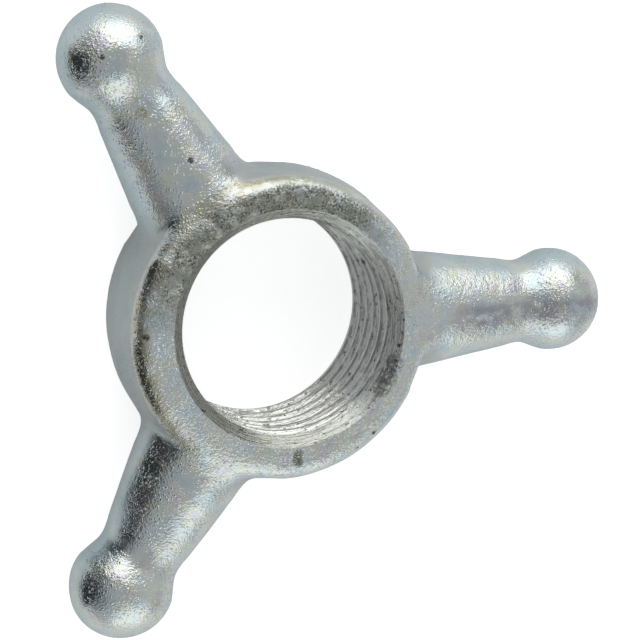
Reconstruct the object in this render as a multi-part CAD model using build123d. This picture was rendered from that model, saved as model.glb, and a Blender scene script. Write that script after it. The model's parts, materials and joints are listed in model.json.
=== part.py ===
from build123d import *
from math import sqrt
import os

# A three-armed locknut, turned by hand: a steel collar with a threaded bore, and three tapered
# arms that end in balls. It is one forging, so it is one solid.
#
# Millimetres. +Z is the bore's axis, with the origin on it at mid-height, in the plane of the
# three arms. The first arm points along +X. The nut rests on its back face, at the lowest Z.
# The bore is cut to the thread's minor diameter, and the thread's grooves are left out.

# Thread: ISO metric, 36 x 3, right-hand
THREAD_MAJOR_D = 36.0
THREAD_PITCH = 3.0
MINOR_STEP = 1.0825  # major less minor diameter, in pitches

# Ends of the bore: a deep countersink in the front face, a broken edge in the back face
COUNTERSINK_DEPTH = 1.7
BACK_CHAMFER = 0.5

# Collar: barrel-shaped, widest at mid-height, where the forging dies parted
COLLAR_HEIGHT = 20.0
COLLAR_WALL = 4.9  # at the end faces, from the thread's major diameter out
COLLAR_SWELL = 1.2  # how far mid-height stands out past the end faces
COLLAR_EDGE_R = 2.3

# Arms: round bars that taper outwards and run into balls
ARM_REACH = 22.65  # from the collar's widest circle to the ball's centre
ARM_SINK = 0.45  # how far a bar's top starts below the collar's end face
NECK_D = 12.6  # where the taper meets the ball
BALL_D = 16.1
NECK_FILLET_R = 4.2
ROOT_FILLET_R = 2.7

# The forging as it came: each arm's bearing in degrees and how much longer it is than it
# should be, and where the forging's centre lies, seen from the bore that was drilled in it
ARMS = ((0.0, 0.0), (120.0, 0.0), (239.15, -0.6))
FORGING_CENTRE = (-0.76, -0.23)

# What follows from the sizes above
NODE = "nut_body"
MAJOR_R = THREAD_MAJOR_D / 2
MINOR_R = MAJOR_R - MINOR_STEP * THREAD_PITCH / 2
HALF_HEIGHT = COLLAR_HEIGHT / 2
FACE_R = MAJOR_R + COLLAR_WALL
GIRTH_R = FACE_R + COLLAR_SWELL
ROOT_X = MAJOR_R + COLLAR_WALL / 2
ROOT_R = HALF_HEIGHT - ARM_SINK
NECK_R = NECK_D / 2
BALL_R = BALL_D / 2
SEAM_BEARING = (ARMS[0][0] + ARMS[1][0]) / 2  # where turned faces close, clear of the arms


def turned(section):
    """The solid that a flat section, drawn as radius and height, sweeps round the Z axis."""
    return revolve(Plane.XZ * section, Axis.Z)


def collar():
    """The collar, still without its bore, with both outer edges rounded."""
    top, bottom = HALF_HEIGHT, -HALF_HEIGHT
    side = ThreePointArc((FACE_R, bottom), (GIRTH_R, 0), (FACE_R, top))
    ends = Polyline((FACE_R, top), (0, top), (0, bottom), (FACE_R, bottom))
    section = make_face(side + ends)
    edges = section.vertices().sort_by(Axis.X)[-2:]
    return Rot(Z=SEAM_BEARING) * turned(fillet(edges, COLLAR_EDGE_R))


def arm(longer):
    """One bar and its ball along +X, starting inside the collar's wall."""
    ball_x = GIRTH_R + ARM_REACH + longer
    neck_x = ball_x - sqrt(BALL_R**2 - NECK_R**2)
    bar = Polyline((neck_x, NECK_R), (ROOT_X, ROOT_R), (ROOT_X, 0), (ball_x + BALL_R, 0))
    ball = ThreePointArc((neck_x, NECK_R), (ball_x, BALL_R), (ball_x + BALL_R, 0))
    half_section = make_face(bar + ball)
    neck = half_section.vertices().sort_by_distance((neck_x, NECK_R, 0))[0]
    return revolve(fillet(neck, NECK_FILLET_R), Axis.X)


def bore():
    """What the drill and the two countersinks take away."""
    top, bottom = HALF_HEIGHT, -HALF_HEIGHT
    outline = Polyline(
        (0, top),
        (MAJOR_R, top),
        (MINOR_R, top - COUNTERSINK_DEPTH),
        (MINOR_R, bottom + BACK_CHAMFER),
        (MINOR_R + BACK_CHAMFER, bottom),
        (0, bottom),
        close=True,
    )
    return turned(make_face(outline))


def nut_body():
    """The forging, filleted at the roots of its arms, then moved off centre and bored."""
    forging = collar()
    for bearing, longer in ARMS:
        bar = Rot(Z=bearing) * arm(longer)
        joined = forging + bar
        forging = fillet(new_edges(forging, bar, combined=joined), ROOT_FILLET_R)
    return Pos(*FORGING_CENTRE) * forging - bore()


os.makedirs("parts", exist_ok=True)
nut = nut_body()
nut.label = NODE
export_step(nut, f"parts/{NODE}.step")
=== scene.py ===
import json
from math import cos, hypot, pi, radians, tau

import bmesh
import bpy
from mathutils import Matrix, Vector, noise


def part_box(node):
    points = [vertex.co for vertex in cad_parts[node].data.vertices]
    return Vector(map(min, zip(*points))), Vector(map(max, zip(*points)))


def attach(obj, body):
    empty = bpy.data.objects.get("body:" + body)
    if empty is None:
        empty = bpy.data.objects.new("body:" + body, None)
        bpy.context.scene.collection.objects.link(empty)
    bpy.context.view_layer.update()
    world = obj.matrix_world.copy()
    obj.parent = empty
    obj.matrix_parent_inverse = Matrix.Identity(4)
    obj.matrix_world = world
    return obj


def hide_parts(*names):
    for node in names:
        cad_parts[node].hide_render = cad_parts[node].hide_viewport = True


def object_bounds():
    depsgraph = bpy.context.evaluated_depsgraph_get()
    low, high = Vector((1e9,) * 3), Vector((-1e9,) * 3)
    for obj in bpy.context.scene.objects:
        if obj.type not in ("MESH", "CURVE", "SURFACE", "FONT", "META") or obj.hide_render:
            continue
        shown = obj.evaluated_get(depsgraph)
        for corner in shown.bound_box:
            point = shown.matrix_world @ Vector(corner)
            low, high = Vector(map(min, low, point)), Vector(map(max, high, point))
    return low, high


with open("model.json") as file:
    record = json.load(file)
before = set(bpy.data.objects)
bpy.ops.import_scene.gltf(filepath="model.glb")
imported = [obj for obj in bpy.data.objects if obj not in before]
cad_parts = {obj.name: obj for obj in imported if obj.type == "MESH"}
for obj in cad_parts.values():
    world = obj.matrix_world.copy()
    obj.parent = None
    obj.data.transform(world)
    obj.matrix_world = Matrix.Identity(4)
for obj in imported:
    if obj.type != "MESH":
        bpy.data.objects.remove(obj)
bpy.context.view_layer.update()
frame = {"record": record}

# --- Collar ------------------------------------------------------------------------------
# The nut is one steel forging. Its collar is a ring, widest at mid-height where the dies
# parted and drafted to both end faces, with its outer edges well rounded.

MM = 0.001
NODE = "nut_body"
half_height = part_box(NODE)[1].z
forging_centre = Vector((-0.76, -0.23, 0.0)) * MM
face_r = 22.9 * MM
girth_r = 24.1 * MM
edge_r = 2.3 * MM
edge_segments = 8
collar_steps = 192
weld = 0.001 * MM

nut = bmesh.new()
outline = [
    nut.verts.new(point)
    for point in (
        (0, 0, half_height),
        (face_r, 0, half_height),
        (girth_r, 0, 0),
        (face_r, 0, -half_height),
        (0, 0, -half_height),
    )
]
for upper, lower in zip(outline, outline[1:]):
    nut.edges.new((upper, lower))
bmesh.ops.bevel(
    nut,
    geom=[outline[1], outline[3]],
    offset=edge_r,
    affect="VERTICES",
    segments=edge_segments,
    profile=0.5,
    material=-1,
)
bmesh.ops.spin(
    nut,
    geom=nut.verts[:] + nut.edges[:],
    cent=(0, 0, 0),
    axis=(0, 0, 1),
    angle=tau,
    steps=collar_steps,
    use_merge=True,
)
bmesh.ops.remove_doubles(nut, verts=nut.verts, dist=weld)

# --- Arms --------------------------------------------------------------------------------
# Three round bars taper outwards from the collar and run into balls that a palm can push on.
# The third came out of the dies a little short and a little out of line.

arm_bearings = (0.0, 120.0, 239.15)
ball_reaches = (46.75 * MM, 46.75 * MM, 46.15 * MM)
ball_r = 8.05 * MM
bar_start = 20.5 * MM
bar_start_r = 9.6 * MM
neck_r = 6.35 * MM
neck_to_ball = 5.0 * MM


def bar_radius(along, reach):
    """The bar's radius at a distance from the forging's centre."""
    slope = (neck_r - bar_start_r) / (reach - neck_to_ball - bar_start)
    return bar_start_r + slope * (along - bar_start)


for bearing, reach in zip(arm_bearings, ball_reaches):
    turn = Matrix.Rotation(radians(bearing), 4, "Z")
    lay = Matrix.Rotation(pi / 2, 4, "Y")
    middle = (bar_start + reach) / 2
    bmesh.ops.create_cone(
        nut,
        cap_ends=True,
        segments=96,
        radius1=bar_start_r,
        radius2=bar_radius(reach, reach),
        depth=reach - bar_start,
        matrix=turn @ Matrix.Translation((middle, 0, 0)) @ lay,
    )
    bmesh.ops.create_uvsphere(
        nut,
        u_segments=96,
        v_segments=64,
        radius=ball_r,
        matrix=turn @ Matrix.Translation((reach, 0, 0)) @ lay,
    )
bmesh.ops.recalc_face_normals(nut, faces=nut.faces)

# --- Forging -----------------------------------------------------------------------------
# Collar and arms are one piece of metal. They are fused here, the hollows where they meet
# are filled as the dies' radii fill them, and the skin gets a forging's slight unevenness.

voxel = 0.5 * MM
root_hollow = 4.2 * MM
neck_hollow = 3.4 * MM
fill_passes = 30
smoothing = 0.5
lump_size = 7.0 * MM
lump_height = 0.09 * MM
dent_size = 2.4 * MM
dent_height = 0.018 * MM
flash_height = 0.12 * MM
flash_width = 0.35 * MM


def to_object(shape, name):
    """A finished bmesh as an object, which frees the bmesh."""
    mesh = bpy.data.meshes.new(name)
    shape.to_mesh(mesh)
    shape.free()
    made = bpy.data.objects.new(name, mesh)
    bpy.context.scene.collection.objects.link(made)
    return made


def apply_modifiers(target):
    """Swaps an object's mesh for what its modifiers make of it."""
    shown = target.evaluated_get(bpy.context.evaluated_depsgraph_get())
    mesh = bpy.data.meshes.new_from_object(shown)
    target.modifiers.clear()
    target.data = mesh


body = to_object(nut, "threaded_collar_with_arms")
fuse = body.modifiers.new("fuse", "REMESH")
fuse.mode = "VOXEL"
fuse.voxel_size = voxel
apply_modifiers(body)

skin = bmesh.new()
skin.from_mesh(body.data)


def in_a_hollow(point):
    """Whether a point lies where a bar leaves the collar, or where it swells into its ball."""
    from_centre = hypot(point.x, point.y)
    for bearing, reach in zip(arm_bearings, ball_reaches):
        local = Matrix.Rotation(-radians(bearing), 3, "Z") @ point
        if local.x < bar_start - root_hollow:
            continue
        off_bar = abs(hypot(local.y, local.z) - bar_radius(local.x, reach))
        off_collar = abs(from_centre - face_r)
        off_neck = abs(local.x - (reach - neck_to_ball))
        if off_bar < root_hollow and off_collar < root_hollow:
            return True
        if off_neck < neck_hollow:
            return True
    return False


hollows = [vert for vert in skin.verts if in_a_hollow(vert.co)]
for _ in range(fill_passes):
    bmesh.ops.smooth_vert(
        skin, verts=hollows, factor=smoothing, use_axis_x=True, use_axis_y=True, use_axis_z=True
    )
bmesh.ops.smooth_vert(
    skin, verts=skin.verts, factor=smoothing, use_axis_x=True, use_axis_y=True, use_axis_z=True
)
skin.normal_update()
for vert in skin.verts:
    lumps = noise.noise(vert.co / lump_size) * lump_height
    dents = noise.noise(vert.co / dent_size) * dent_height
    sideways = 1 - abs(vert.normal.z)
    flash = flash_height * sideways * max(0.0, 1 - (vert.co.z / flash_width) ** 2)
    vert.co += vert.normal * (lumps + dents + flash)
bmesh.ops.translate(skin, verts=skin.verts, vec=forging_centre)
skin.to_mesh(body.data)
skin.free()

# --- Thread ------------------------------------------------------------------------------
# The bore is tapped right through with a right-hand metric thread of 3 mm pitch. It opens in
# a countersink at the front and a light chamfer at the back. These three are cutters.

thread_r = frame["record"]["mounts"][0]["dims"]["r_mm"] * MM
pitch = 3.0 * MM
groove_depth = 1.624 * MM
crest_flat = pitch / 4
flank_rise = pitch * 5 / 16
root_flat = pitch / 8
steps_per_turn = 120
overrun = 1.0 * MM
turns = 10
run_out = 9.4 * MM
run_out_length = 2.6 * MM
countersink_depth = 1.7 * MM
back_chamfer = 0.5 * MM
sharp_from_deg = 38

tap = bmesh.new()
heights = (0, crest_flat, crest_flat + flank_rise, crest_flat + flank_rise + root_flat, pitch)
radii = (thread_r, thread_r, thread_r + groove_depth, thread_r + groove_depth, thread_r)
start = -turns / 2 * pitch
tooth = [tap.verts.new((radius, 0, start + z)) for radius, z in zip(radii, heights)]
for lower, upper in zip(tooth, tooth[1:]):
    tap.edges.new((lower, upper))
bmesh.ops.spin(
    tap,
    geom=tap.verts[:] + tap.edges[:],
    cent=(0, 0, 0),
    axis=(0, 0, 1),
    dvec=(0, 0, pitch / steps_per_turn),
    angle=tau * turns,
    steps=steps_per_turn * turns,
    use_merge=False,
)
bmesh.ops.remove_doubles(tap, verts=tap.verts, dist=weld)
for vert in tap.verts:
    from_axis = hypot(vert.co.x, vert.co.y)
    depth = (from_axis - thread_r) * max(0.0, min(1.0, (run_out - vert.co.z) / run_out_length))
    vert.co.x *= (thread_r + depth) / from_axis
    vert.co.y *= (thread_r + depth) / from_axis
for side in (1, -1):
    end = (0, 0, side * (half_height + overrun))
    bmesh.ops.bisect_plane(
        tap,
        geom=tap.verts[:] + tap.edges[:] + tap.faces[:],
        plane_co=end,
        plane_no=(0, 0, side),
        clear_outer=True,
    )
bmesh.ops.holes_fill(tap, edges=[edge for edge in tap.edges if edge.is_boundary])
bmesh.ops.recalc_face_normals(tap, faces=tap.faces)


def countersink(mouth_r, depth, side):
    """A cone that opens a bore end to mouth_r at the face and meets the bore at depth."""
    cone = bmesh.new()
    flare = (mouth_r - thread_r) / depth
    inside = half_height / 2
    bmesh.ops.create_cone(
        cone,
        cap_ends=True,
        segments=collar_steps,
        radius1=mouth_r - flare * inside,
        radius2=mouth_r + flare * overrun,
        depth=inside + overrun,
        matrix=Matrix.Translation((0, 0, half_height + (overrun - inside) / 2)),
    )
    if side < 0:
        bmesh.ops.rotate(cone, verts=cone.verts, matrix=Matrix.Rotation(pi, 3, "X"))
    return cone


cutters = (
    to_object(tap, "tap"),
    to_object(countersink(thread_r + groove_depth, countersink_depth, 1), "front_countersink"),
    to_object(countersink(thread_r + back_chamfer, back_chamfer, -1), "back_countersink"),
)
for cutter in cutters:
    cut = body.modifiers.new(cutter.name, "BOOLEAN")
    cut.operation = "DIFFERENCE"
    cut.solver = "EXACT"
    cut.object = cutter
apply_modifiers(body)
for cutter in cutters:
    bpy.data.objects.remove(cutter)

body.data.polygons.foreach_set("use_smooth", [True] * len(body.data.polygons))
body.data.set_sharp_from_angle(angle=radians(sharp_from_deg))

# --- Zinc plating ------------------------------------------------------------------------
# The forging is zinc plated and blue passivated. The plate is pale and shiny, follows every
# pit and scale mark of the forged skin, and is brighter over the machined bore.


class Wire:
    """An output socket of a material's nodes. Arithmetic on it adds Math nodes."""

    def __init__(self, tree, socket=None):
        self.tree = tree
        self.socket = socket

    def node(self, kind, settings=None, sockets=None, output=0):
        """A node of any kind, its settings made first, and one of its outputs."""
        made = self.tree.nodes.new(kind)
        for name, value in (settings or {}).items():
            if name == "stops":
                stops = made.color_ramp.elements
                for place, colour in value[2:]:
                    stops.new(place)
                for stop, (place, colour) in zip(stops, value):
                    stop.position = place
                    stop.color = (*colour, 1)
            else:
                setattr(made, name, value)
        for name, value in (sockets or {}).items():
            if isinstance(value, Wire):
                self.tree.links.new(value.socket, made.inputs[name])
            else:
                made.inputs[name].default_value = value
        return Wire(self.tree, made.outputs[output])

    def maths(self, operation, *values):
        return self.node("ShaderNodeMath", {"operation": operation}, dict(enumerate(values)))

    def __add__(self, other):
        return self.maths("ADD", self, other)

    def __sub__(self, other):
        return self.maths("SUBTRACT", self, other)

    def __rsub__(self, other):
        return self.maths("SUBTRACT", other, self)

    def __mul__(self, other):
        return self.maths("MULTIPLY", self, other)

    __radd__ = __add__
    __rmul__ = __mul__

    def rises(self, start, end):
        """0 up to start, 1 from end on, smooth between them."""
        sockets = {"Value": self, "From Min": start, "From Max": end}
        return self.node("ShaderNodeMapRange", {"interpolation_type": "SMOOTHSTEP"}, sockets)

    def falls(self, start, end):
        """1 up to start, 0 from end on."""
        return 1 - self.rises(start, end)

    def tinted(self, colour, share):
        """This colour mixed towards another by a share."""
        other = colour if isinstance(colour, Wire) else (*colour, 1)
        return self.node(
            "ShaderNodeMix", {"data_type": "RGBA"}, {0: share, 6: self, 7: other}, output=2
        )


plating = bpy.data.materials.new("zinc_plated_forging")
plating.use_nodes = True
plating.node_tree.nodes.clear()
zinc = Wire(plating.node_tree)
place = zinc.node("ShaderNodeTexCoord", output="Object")
across = zinc.node("ShaderNodeSeparateXYZ", sockets={0: place}, output="X")
along = zinc.node("ShaderNodeSeparateXYZ", sockets={0: place}, output="Y")
height = zinc.node("ShaderNodeSeparateXYZ", sockets={0: place}, output="Z")
radius = zinc.maths("SQRT", across * across + along * along)
around = zinc.maths("ARCTAN2", along, across)


def mottle(size, detail=2.0, rough=0.5, shift=0.0, stretch=(1, 1, 1)):
    """Soft random patches of about a given size, from 0 to 1."""
    moved = zinc.node(
        "ShaderNodeMapping", sockets={"Vector": place, "Location": (shift,) * 3, "Scale": stretch}
    )
    sockets = {"Vector": moved, "Scale": 1 / size, "Detail": detail, "Roughness": rough}
    return zinc.node("ShaderNodeTexNoise", {"noise_dimensions": "3D"}, sockets, output=0)


def craters(size, shift=0.0):
    """Distance from the nearest of many scattered points about one size apart, 0 at a point."""
    moved = zinc.node("ShaderNodeMapping", sockets={"Vector": place, "Location": (shift,) * 3})
    sockets = {"Vector": moved, "Scale": 1 / size}
    return zinc.node("ShaderNodeTexVoronoi", {}, sockets, output="Distance")


soft_edge = 0.55


def near(spot, size):
    """1 at a spot on the nut, 0 beyond size from it."""
    away = zinc.node(
        "ShaderNodeVectorMath",
        {"operation": "DISTANCE"},
        {0: place, 1: [length * MM for length in spot]},
        output="Value",
    )
    return away.falls(size * soft_edge * MM, size * MM)


def facing(angle, spread):
    """1 on the side of the collar at a bearing, 0 further round than spread, in degrees."""
    turned = zinc.maths("COSINE", around - radians(angle))
    return turned.rises(cos(radians(spread)), cos(radians(spread * soft_edge)))


# Regions: the bore with its thread, the countersink, the flat face and its rounded edge,
# and the lower flanks all round.
in_bore = radius.falls(thread_r + groove_depth, thread_r + groove_depth + 0.1 * MM)
sink_floor = half_height - countersink_depth
in_sink = in_bore * height.rises(sink_floor, sink_floor + 0.2 * MM)
on_wall = height.falls(6.8 * MM, 8.0 * MM) * radius.falls(24.0 * MM, 28.0 * MM) * (1 - in_bore)
on_face = height.rises(9.3 * MM, 9.8 * MM) * (1 - in_bore)
collar_edge = height.rises(7.2 * MM, 8.6 * MM) * radius.rises(21.2 * MM, 22.4 * MM)
collar_edge = collar_edge * radius.falls(23.6 * MM, 24.4 * MM)
flanks = height.falls(2.0 * MM, 6.2 * MM) * (1 - in_bore)
smooth_skin = height.falls(2.6 * MM, 5.0 * MM) * radius.rises(23.0 * MM, 26.5 * MM)
smooth_skin = zinc.maths("MINIMUM", smooth_skin + on_wall, 1.0)

coarse = mottle(5.0 * MM, detail=3.0)
medium = mottle(1.6 * MM, detail=3.0, shift=0.3)
fine = mottle(0.55 * MM, detail=3.0, rough=0.6, shift=0.7)
micro = mottle(0.30 * MM, detail=2.0, rough=0.6, shift=1.7)
pits = craters(0.6 * MM).falls(0.10, 0.40)
scale_marks = mottle(2.6 * MM, detail=4.0, rough=0.65, shift=1.1)

# Porous skin: the ring's face between the first two arms, and patches of the other skin.
porous_ring = facing(108, 75) * on_face
porous = zinc.maths("MINIMUM", porous_ring + coarse.rises(0.52, 0.66) * 0.6 * (1 - on_face), 1.0)
dark_pits = pits * porous * medium.rises(0.42, 0.56)

silver = (0.69, 0.73, 0.73)
plate = zinc.node(
    "ShaderNodeValToRGB",
    {
        "stops": (
            (0.32, (0.60, 0.68, 0.70)),
            (0.46, silver),
            (0.56, (0.73, 0.745, 0.66)),
            (0.68, (0.67, 0.65, 0.71)),
        )
    },
    {"Fac": mottle(3.6 * MM, detail=2.5, rough=0.55, shift=2.0)},
)
# Painted shade with a painted blue-grey reflection: the lower flanks are darker and bluer. Part of the
# blue is the passivation's own.
plate = plate.tinted((0.54, 0.66, 0.70), flanks * coarse.rises(0.25, 0.6) * 0.85)
# Painted shade: darker towards the bottom, and darker still on the collar's wall.
plate = plate.tinted((0.43, 0.50, 0.51), height.falls(-4.0 * MM, 3.5 * MM) * (1 - in_bore) * 0.7)
plate = plate.tinted((0.42, 0.47, 0.46), on_wall * 0.7)
olive = collar_edge * scale_marks.rises(0.36, 0.52) * facing(150, 110)
plate = plate.tinted((0.48, 0.45, 0.32), olive * 0.75)
# Painted shade and painted light in the countersink: darker all round, and lighter on the side towards
# the first arm.
plate = plate.tinted((0.56, 0.56, 0.50), in_sink * 0.85)
plate = plate.tinted((0.84, 0.85, 0.83), in_sink * facing(0, 75) * 0.8)
plate = plate.tinted((0.80, 0.79, 0.75), in_bore * (1 - in_sink) * 0.7)
# Painted shade: the bore's wall towards the first arm is darker, so that the thread's crests stand out.
plate = plate.tinted((0.66, 0.66, 0.66), in_bore * (1 - in_sink) * facing(15, 75) * 0.7)
plate = plate.tinted((0.20, 0.19, 0.17), dark_pits * 0.75)
soot = micro.rises(0.46, 0.56) * medium.rises(0.36, 0.52) * porous_ring
plate = plate.tinted((0.31, 0.31, 0.27), scale_marks.rises(0.34, 0.54) * porous_ring * 0.8)
plate = plate.tinted((0.13, 0.12, 0.09), soot * 0.8)
peppered = craters(0.60 * MM, shift=2.2).falls(0.18, 0.32) * medium.rises(0.40, 0.50)
plate = plate.tinted((0.08, 0.075, 0.06), peppered * porous_ring * 0.9)
flecks = micro.rises(0.60, 0.68) * medium.rises(0.50, 0.62)
plate = plate.tinted((0.25, 0.25, 0.23), flecks * 0.6)

# Tool marks run round the bore, with dirt caught in them. On the side towards the first arm the
# thread's crests carry a painted highlight, with painted shade along their edges.
tool_marks = mottle(0.22 * MM, detail=3.0, rough=0.6, shift=0.5, stretch=(0.04, 0.04, 1))
caught = mottle(0.34 * MM, detail=3.0, rough=0.6, shift=0.9, stretch=(0.35, 0.35, 1))
plate = plate.tinted((0.30, 0.29, 0.26), tool_marks.rises(0.54, 0.64) * in_bore * 0.6)
turn = zinc.maths("FRACT", height * (1 / pitch) - around * (1 / tau))
far_side = in_bore * (1 - in_sink) * facing(15, 100)
# Painted highlight on the thread's crests.
painted_crest_highlight = turn.rises(0.02, 0.07) * turn.falls(0.17, 0.23) * far_side
plate = plate.tinted((0.97, 0.98, 0.95), painted_crest_highlight * 0.9)
# Painted shade along the crests' edges.
painted_crest_shade = turn.rises(0.21, 0.25) * turn.falls(0.28, 0.34) * far_side
plate = plate.tinted((0.10, 0.10, 0.09), painted_crest_shade * scale_marks.rises(0.30, 0.55) * 0.6)
plate = plate.tinted((0.12, 0.11, 0.10), caught.rises(0.60, 0.66) * in_bore * 0.85)

# A painted dark reflection band, tinted mauve, lies along the top of the first arm and on its ball.
painted_reflection_band = zinc.maths("ABSOLUTE", along + 0.8 * MM).falls(0.8 * MM, 3.2 * MM)
painted_reflection_band = painted_reflection_band * across.rises(25 * MM, 30 * MM) * height.rises(3.0 * MM, 5.5 * MM)
painted_reflection_band = painted_reflection_band * scale_marks.rises(0.36, 0.58)
plate = plate.tinted((0.36, 0.34, 0.39), painted_reflection_band * 0.75)

# Black specks in the plate, a smear on the ring, smudges in the countersink, and one spot of
# yellow rust.
for spot, size in (
    ((14.5, -7.5, -6.4), 0.55),
    ((13.1, -17.0, 9.9), 0.6),
    ((10.5, -19.2, 9.8), 0.5),
    ((-3.9, -15.9, 0.2), 0.5),
    ((-14.6, 25.8, 8.1), 0.7),
    ((-27.2, 41.2, 7.4), 0.6),
    ((-21.2, 43.8, 6.6), 0.5),
    ((-22.3, 0.4, 9.9), 0.8),
    ((14.4, 7.8, 1.1), 0.8),
    ((17.3, -3.8, 9.5), 0.5),
    ((16.7, -6.0, 9.6), 0.5),
):
    speck = near(spot, size * 0.85) * fine.rises(0.36, 0.46)
    plate = plate.tinted((0.07, 0.065, 0.06), speck * 0.9)
for smear in ((0.9, -19.1, 10.0), (0.6, -19.9, 10.0), (0.9, -20.5, 10.0)):
    plate = plate.tinted((0.16, 0.145, 0.12), near(smear, 0.95) * micro.rises(0.38, 0.5) * 0.75)
for smudge in ((16.4, -6.6, 9.4), (15.5, -8.5, 9.4), (14.4, -10.1, 9.4)):
    plate = plate.tinted((0.20, 0.20, 0.20), near(smudge, 1.9) * fine.rises(0.36, 0.56) * 0.75)
rust = near((-21.4, 32.8, 6.6), 1.1) * micro.rises(0.4, 0.55)
plate = plate.tinted((0.42, 0.34, 0.12), rust * 0.8)

# Relief, in millimetres: isolated grains, a fine roughness under them, and soft waviness. The
# lower flanks are smoother, and the machined bore keeps little but its tool marks.
grain_height = 0.060
fine_grain_height = 0.030
micro_height = 0.05
fine_height = 0.07
wave_height = 0.05
tool_mark_height = 0.15
grains = craters(0.60 * MM, shift=0.6).falls(0.04, 0.40)
fine_grains = craters(0.33 * MM, shift=1.6).falls(0.04, 0.45)
grained = grains * grain_height + fine_grains * fine_grain_height + micro * micro_height
skin_height = grained * (0.42 + coarse.rises(0.38, 0.58) * 0.80 + on_face * 0.2)
skin_height = skin_height + fine * (fine_height + on_face * fine_height)
skin_height = skin_height + medium * wave_height + scale_marks * wave_height
skin_height = skin_height * (1 - smooth_skin * 0.50) - soot * 0.03
skin_height = skin_height * (1 - in_bore * 0.75) + tool_marks * in_bore * tool_mark_height
relief = zinc.node(
    "ShaderNodeBump", {}, {"Strength": 1.0, "Distance": MM, "Height": skin_height}
)
polish = 0.10
gloss = polish + fine * 0.12 + porous * 0.06 + on_face * 0.05 + in_sink * 0.10 + smooth_skin * 0.14
shader = zinc.node(
    "ShaderNodeBsdfPrincipled",
    {},
    {"Base Color": plate, "Metallic": 1.0, "Roughness": gloss, "Normal": relief},
)
surface = plating.node_tree.nodes.new("ShaderNodeOutputMaterial")
plating.node_tree.links.new(shader.socket, surface.inputs["Surface"])
body.data.materials.clear()
body.data.materials.append(plating)

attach(body, "root")
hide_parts(NODE)

# --- Floor -------------------------------------------------------------------------------
# The nut lies on its back face on a plain white sheet.

sheet = bmesh.new()
bmesh.ops.create_grid(
    sheet, x_segments=1, y_segments=1, size=2.0, matrix=Matrix.Translation((0, 0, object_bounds()[0].z))
)
floor = to_object(sheet, "floor")
paper = bpy.data.materials.new("white_sheet")
paper.use_nodes = True
paper.node_tree.nodes.clear()
white = Wire(paper.node_tree)
rays = {
    name: white.node("ShaderNodeLightPath", output=name)
    for name in ("Is Camera Ray", "Is Glossy Ray", "Is Transmission Ray")
}
camera_glow = 0.75
gloss_glow = 0.17
through_glow = 0.5
seen = rays["Is Camera Ray"] * camera_glow + rays["Is Glossy Ray"] * gloss_glow
seen = seen + rays["Is Transmission Ray"] * through_glow
matt = white.node("ShaderNodeBsdfDiffuse", sockets={"Color": (0.85, 0.85, 0.85, 1)})
glow = white.node("ShaderNodeEmission", sockets={"Strength": seen})
both = white.node("ShaderNodeAddShader", sockets={0: matt, 1: glow})
paper_out = paper.node_tree.nodes.new("ShaderNodeOutputMaterial")
paper.node_tree.links.new(both.socket, paper_out.inputs["Surface"])
floor.data.materials.append(paper)

# --- Light -------------------------------------------------------------------------------
# Two softboxes stand low on either side, the stronger towards +Y, in a grey room with one dark
# corner and one pale window. Three black cards close to the nut show only in its reflections.


def softbox(name, bearing_deg, elevation_deg, distance, size, brightness, colour):
    """A soft rectangular lamp facing the nut."""
    lamp = bpy.data.lights.new(name, "AREA")
    lamp.shape = "RECTANGLE"
    lamp.size, lamp.size_y = size
    lamp.energy = brightness * pi * size[0] * size[1]
    lamp.color = colour
    stand = bpy.data.objects.new(name, lamp)
    bpy.context.scene.collection.objects.link(stand)
    stand.matrix_world = (
        Matrix.Rotation(radians(bearing_deg) + pi / 2, 4, "Z")
        @ Matrix.Rotation(radians(90 - elevation_deg), 4, "X")
        @ Matrix.Translation((0, 0, distance))
    )


softbox("key_softbox", 83, 26, 0.50, (0.68, 0.52), 1.08, (0.99, 1.0, 0.985))
softbox("fill_softbox", -82, 27, 0.50, (0.52, 0.42), 0.70, (0.93, 1.0, 1.0))

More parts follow.
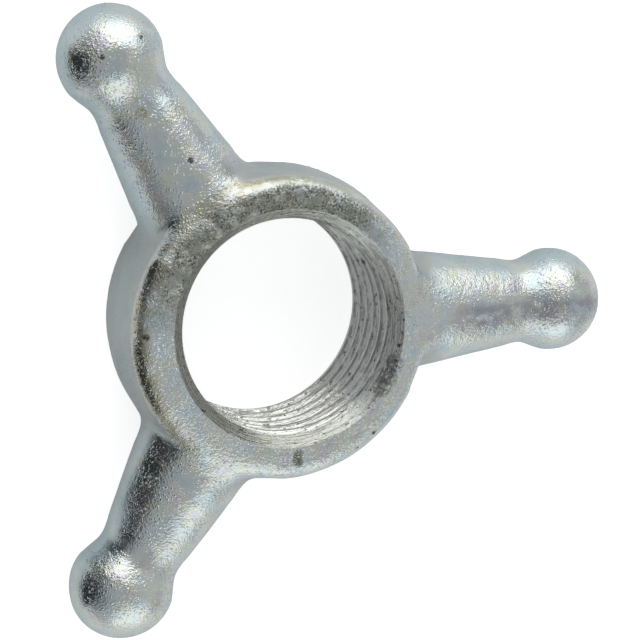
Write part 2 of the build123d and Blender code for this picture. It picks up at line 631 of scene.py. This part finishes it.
cards = bmesh.new()
for stands, lean, long, wide in (
    ((-71, 33, 21), 64, 0.069, 0.036),
    ((-53, -39, 12.5), 68, 0.035, 0.024),
    ((-48, -15, 12), 69, 0.043, 0.018),
):
    bmesh.ops.create_grid(
        cards,
        x_segments=1,
        y_segments=1,
        size=0.5,
        matrix=Matrix.Translation(Vector(stands) * MM)
        @ Matrix.Rotation(radians(lean), 4, "Y")
        @ Matrix.Diagonal((long, wide, 1, 1)),
    )
card = to_object(cards, "black_cards")
black = bpy.data.materials.new("black_card")
black.use_nodes = True
black.node_tree.nodes["Principled BSDF"].inputs["Base Color"].default_value = (0.02, 0.02, 0.022, 1)
card.data.materials.append(black)
card.visible_camera = False
card.visible_diffuse = False
card.visible_shadow = False

room = bpy.data.worlds.new("studio")
bpy.context.scene.world = room
room.use_nodes = True
room.node_tree.nodes.clear()
air = Wire(room.node_tree)
towards = air.node("ShaderNodeTexCoord", output="Generated")
east = air.node("ShaderNodeSeparateXYZ", sockets={0: towards}, output="X")
corner = east.falls(-0.95, -0.6)
window = air.node(
    "ShaderNodeVectorMath",
    {"operation": "DOT_PRODUCT"},
    {0: towards, 1: (0.82, 0.05, 0.57)},
    output="Value",
).rises(0.78, 0.94)
wall_tone = 0.42
corner_dimming = 0.24
window_gain = 0.12
tone = wall_tone - corner * corner_dimming + window * window_gain
glare = air.node("ShaderNodeBackground", sockets={"Color": (0.96, 1.0, 1.02, 1), "Strength": tone})
room_out = room.node_tree.nodes.new("ShaderNodeOutputWorld")
room.node_tree.links.new(glare.socket, room_out.inputs["Surface"])

# --- Camera ------------------------------------------------------------------------------
# It looks down on the front face from the left, turned so that the first arm points right.

target = Vector((7.87, -0.97, 0.0)) * MM
turn_deg = 238.17
tilt_deg = 21.878
roll_deg = 119.51
distance = 374.97 * MM
sensor_mm = 36
lens_mm = 137.44
viewer = bpy.data.objects.new("camera", bpy.data.cameras.new("camera"))
bpy.context.scene.collection.objects.link(viewer)
viewer.data.sensor_width = sensor_mm
viewer.data.lens = lens_mm
viewer.data.clip_start = 0.01
viewer.matrix_world = (
    Matrix.Translation(target)
    @ Matrix.Rotation(radians(turn_deg), 4, "Z")
    @ Matrix.Rotation(radians(tilt_deg), 4, "X")
    @ Matrix.Rotation(radians(roll_deg), 4, "Z")
    @ Matrix.Translation((0, 0, distance))
)
bpy.context.scene.camera = viewer
bpy.context.scene.view_settings.view_transform = "Standard"
